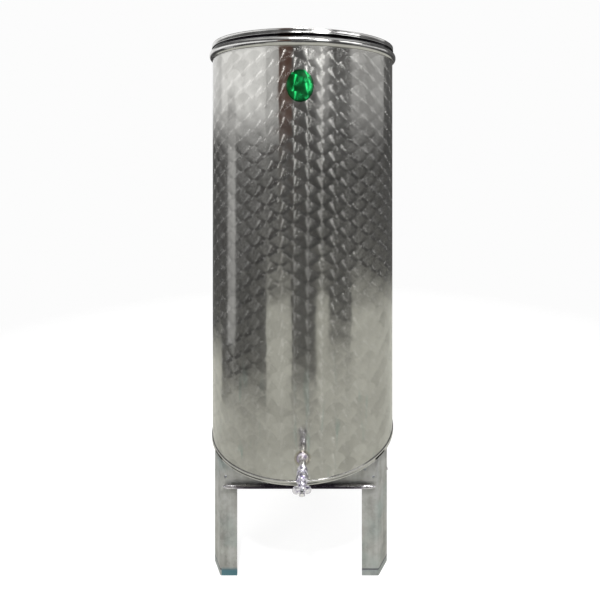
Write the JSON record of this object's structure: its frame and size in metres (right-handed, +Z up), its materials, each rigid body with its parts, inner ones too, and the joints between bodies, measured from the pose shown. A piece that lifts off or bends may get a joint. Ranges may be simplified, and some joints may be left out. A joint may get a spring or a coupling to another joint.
{
  "type": "vertical storage tank",
  "caption": "Upright cylindrical sheet-metal storage tank with lift-off lid and front tap, standing on a low three-legged sheet stand.",
  "frame": {"origin": "on the floor, in the middle of the object's length and width", "axes": "+Z up, -Y to the front, where the tap points, +X to the right seen from the front"},
  "size_m": [0.642, 0.7642, 1.7248],
  "materials": {
    "swirled_steel": "swirl-polished stainless sheet",
    "plain_steel": "bright plain stainless sheet",
    "weld": "ground weld",
    "steel_bar": "polished bar",
    "nickel_brass": "bright nickel plating",
    "zinc_rivet": "zinc plated",
    "galvanised": "mottled galvanised sheet",
    "label_film": "satin printed film"
  },
  "bodies": {
    "tank": {"shell_panel_1": "swirled_steel", "shell_panel_2": "swirled_steel", "shell_panel_3": "swirled_steel", "shell_panel_4": "swirled_steel", "shell_panel_5": "swirled_steel", "shell_panel_6": "swirled_steel", "shell_panel_7": "swirled_steel", "shell_panel_8": "swirled_steel", "weld_seam": "weld", "tank_bottom": "plain_steel", "bottom_seam": "plain_steel", "top_hoop": "plain_steel", "outlet_boss": "plain_steel", "outlet_pipe": "plain_steel", "pipe_collar": "nickel_brass", "hex_nut": "nickel_brass", "valve_body": "nickel_brass", "valve_bonnet": "nickel_brass", "valve_spout": "nickel_brass", "label": "label_film", "leg_1": "galvanised", "foot_1": "galvanised", "apron_1": "galvanised", "apron_rail_1": "galvanised", "leg_2": "galvanised", "foot_2": "galvanised", "apron_2": "galvanised", "apron_rail_2": "galvanised", "leg_3": "galvanised", "foot_3": "galvanised", "apron_3": "galvanised", "apron_rail_3": "galvanised", "rivet_1": "zinc_rivet", "rivet_2": "zinc_rivet", "rivet_3": "zinc_rivet", "rivet_4": "zinc_rivet", "rivet_5": "zinc_rivet", "rivet_6": "zinc_rivet"},
    "lid": {"lid_panel": "plain_steel", "lid_rim": "plain_steel", "lid_handle": "steel_bar"},
    "tap_lever": {"tap_handle": "nickel_brass", "handle_screw": "zinc_rivet"}
  },
  "joints": [
    {"name": "lid_lift", "type": "slide", "parent": "tank", "child": "lid", "axis": [0, 0, 1], "range_m": [0, 0.4]},
    {"name": "tap_turn", "type": "hinge", "parent": "tank", "child": "tap_lever", "pos_m": [0, -0.3733, 0.452], "axis": [0, -1, 0], "range_deg": [0, 90]}
  ]
}
